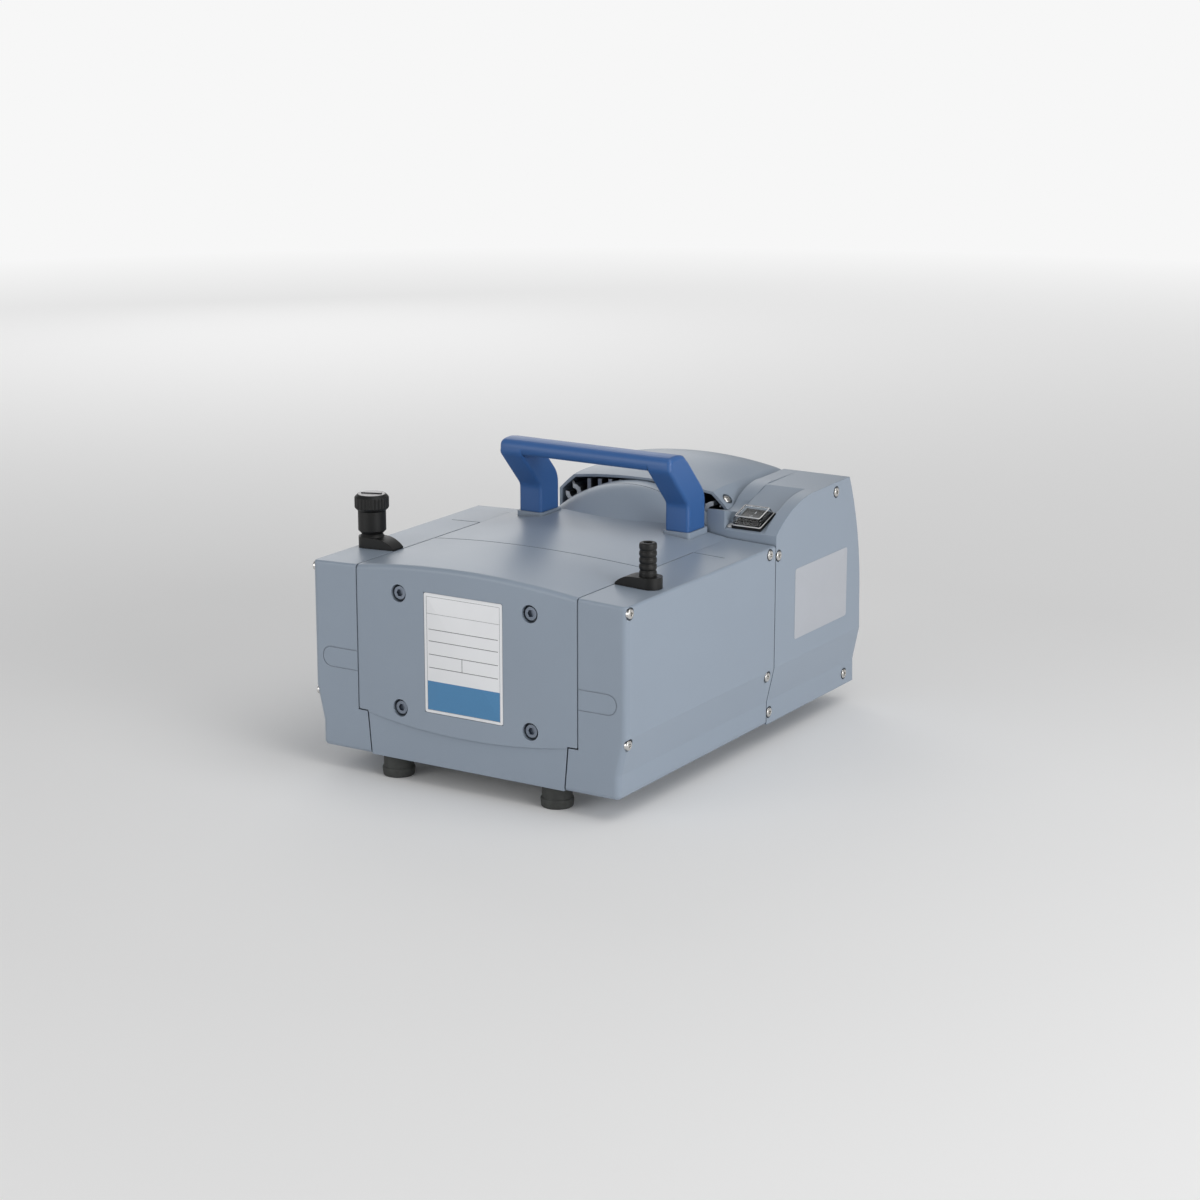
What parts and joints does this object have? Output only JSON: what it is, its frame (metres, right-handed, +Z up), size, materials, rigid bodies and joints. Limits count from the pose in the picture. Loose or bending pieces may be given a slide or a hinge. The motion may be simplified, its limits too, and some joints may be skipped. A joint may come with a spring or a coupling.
{
  "type": "diaphragm vacuum pump",
  "caption": "Bench diaphragm vacuum pump: grey clamshell housing, blue carry handle, gas ballast knob, barbed hose nozzle, motor hood, side electrical box and rubber feet.",
  "frame": {"origin": "centre of the bounding box at the level of the feet's soles", "axes": "+Z up, -Y towards the front panel, +X towards the electrical box, +Y along the crank axis to the motor"},
  "size_m": [0.2406, 0.3252, 0.2015],
  "materials": {
    "housing_paint": "satin blue-grey moulded housing",
    "handle_blue": "blue moulded plastic",
    "black_plastic": "black moulded plastic",
    "clear_boot": "clear flexible plastic",
    "rubber": "dark grey rubber",
    "stainless_steel": "stainless steel",
    "sheet_steel": "zinc plated sheet",
    "cast_aluminium": "cast aluminium",
    "rod_aluminium": "machined aluminium",
    "forged_steel": "ground steel",
    "lamination_steel": "laminated steel",
    "copper_winding": "varnished copper wire",
    "head_plastic": "dark filled fluoropolymer",
    "fluoropolymer": "white fluoropolymer",
    "capacitor_case": "pale plastic can"
  },
  "bodies": {
    "housing": {"front_cover": "housing_paint", "top_housing": "housing_paint", "right_side_cover": "housing_paint", "left_side_cover": "housing_paint", "base_plate": "sheet_steel", "rear_hood": "housing_paint", "front_cover_screws": "stainless_steel", "side_cover_screws": "stainless_steel", "hood_screws": "stainless_steel", "rubber_feet": "rubber", "handle": "handle_blue", "handle_screws": "stainless_steel", "electrical_box": "housing_paint", "electrical_tray": "sheet_steel", "electrical_box_screws": "stainless_steel", "mains_inlet": "black_plastic", "capacitor": "capacitor_case", "switch_housing": "black_plastic", "switch_boot": "clear_boot", "inlet_elbow": "black_plastic", "inlet_hose_nozzle": "black_plastic", "ballast_elbow": "black_plastic", "ballast_valve_body": "black_plastic", "outlet_hose_nozzle": "black_plastic", "transfer_tubes": "fluoropolymer", "crankcase": "cast_aluminium", "main_bearings": "stainless_steel", "vibration_mounts": "rubber", "head_covers_right": "head_plastic", "head_covers_left": "head_plastic", "valve_discs": "fluoropolymer", "head_screws": "stainless_steel", "motor_housing": "cast_aluminium", "motor_stator": "lamination_steel", "motor_windings": "copper_winding", "motor_end_shield_front": "housing_paint", "motor_end_shield_rear": "cast_aluminium", "pump_head_front_right": "head_plastic", "pump_head_front_left": "head_plastic", "pump_head_rear_right": "head_plastic", "pump_head_rear_left": "head_plastic", "diaphragm_front_right": "fluoropolymer", "diaphragm_front_left": "fluoropolymer", "diaphragm_rear_right": "fluoropolymer", "diaphragm_rear_left": "fluoropolymer"},
    "crank": {"crankshaft": "forged_steel", "counterweights": "forged_steel", "rotor": "lamination_steel", "cooling_fan": "black_plastic"},
    "ballast_knob": {"ballast_cap": "black_plastic"},
    "power_rocker": {"switch_rocker": "black_plastic"},
    "rod_front_right": {"connecting_rod_front_right": "rod_aluminium", "diaphragm_clamp_front_right": "fluoropolymer"},
    "rod_front_left": {"connecting_rod_front_left": "rod_aluminium", "diaphragm_clamp_front_left": "fluoropolymer"},
    "rod_rear_right": {"connecting_rod_rear_right": "rod_aluminium", "diaphragm_clamp_rear_right": "fluoropolymer"},
    "rod_rear_left": {"connecting_rod_rear_left": "rod_aluminium", "diaphragm_clamp_rear_left": "fluoropolymer"}
  },
  "joints": [
    {"name": "crank_spin", "type": "hinge", "parent": "housing", "child": "crank", "pos_m": [0, 0, 0.077], "axis": [0, 1, 0], "continuous": true, "deforming": ["diaphragm_front_right", "diaphragm_front_left", "diaphragm_rear_right", "diaphragm_rear_left"]},
    {"name": "ballast_knob_turn", "type": "hinge", "parent": "housing", "child": "ballast_knob", "pos_m": [-0.1069, -0.1109, 0.16436], "axis": [0, 0, 1], "range_deg": [0, 180]},
    {"name": "power_rocker_tilt", "type": "hinge", "parent": "housing", "child": "power_rocker", "pos_m": [0.0952, 0.04578, 0.1475], "axis": [1, 0, 0], "range_deg": [0, 20]},
    {"name": "rod_front_right_orbit", "type": "hinge", "parent": "crank", "child": "rod_front_right", "pos_m": [0.003, -0.1119, 0.077], "axis": [0, 1, 0], "continuous": true},
    {"name": "rod_front_left_orbit", "type": "hinge", "parent": "crank", "child": "rod_front_left", "pos_m": [0.003, -0.1019, 0.077], "axis": [0, 1, 0], "continuous": true},
    {"name": "rod_rear_right_orbit", "type": "hinge", "parent": "crank", "child": "rod_rear_right", "pos_m": [-0.003, -0.02591, 0.077], "axis": [0, 1, 0], "continuous": true},
    {"name": "rod_rear_left_orbit", "type": "hinge", "parent": "crank", "child": "rod_rear_left", "pos_m": [-0.003, -0.01591, 0.077], "axis": [0, 1, 0], "continuous": true}
  ],
  "couplings": [
    {"joint": "rod_front_right_orbit", "follows": "crank_spin", "ratio": -1},
    {"joint": "rod_front_left_orbit", "follows": "crank_spin", "ratio": -1},
    {"joint": "rod_rear_right_orbit", "follows": "crank_spin", "ratio": -1},
    {"joint": "rod_rear_left_orbit", "follows": "crank_spin", "ratio": -1}
  ]
}
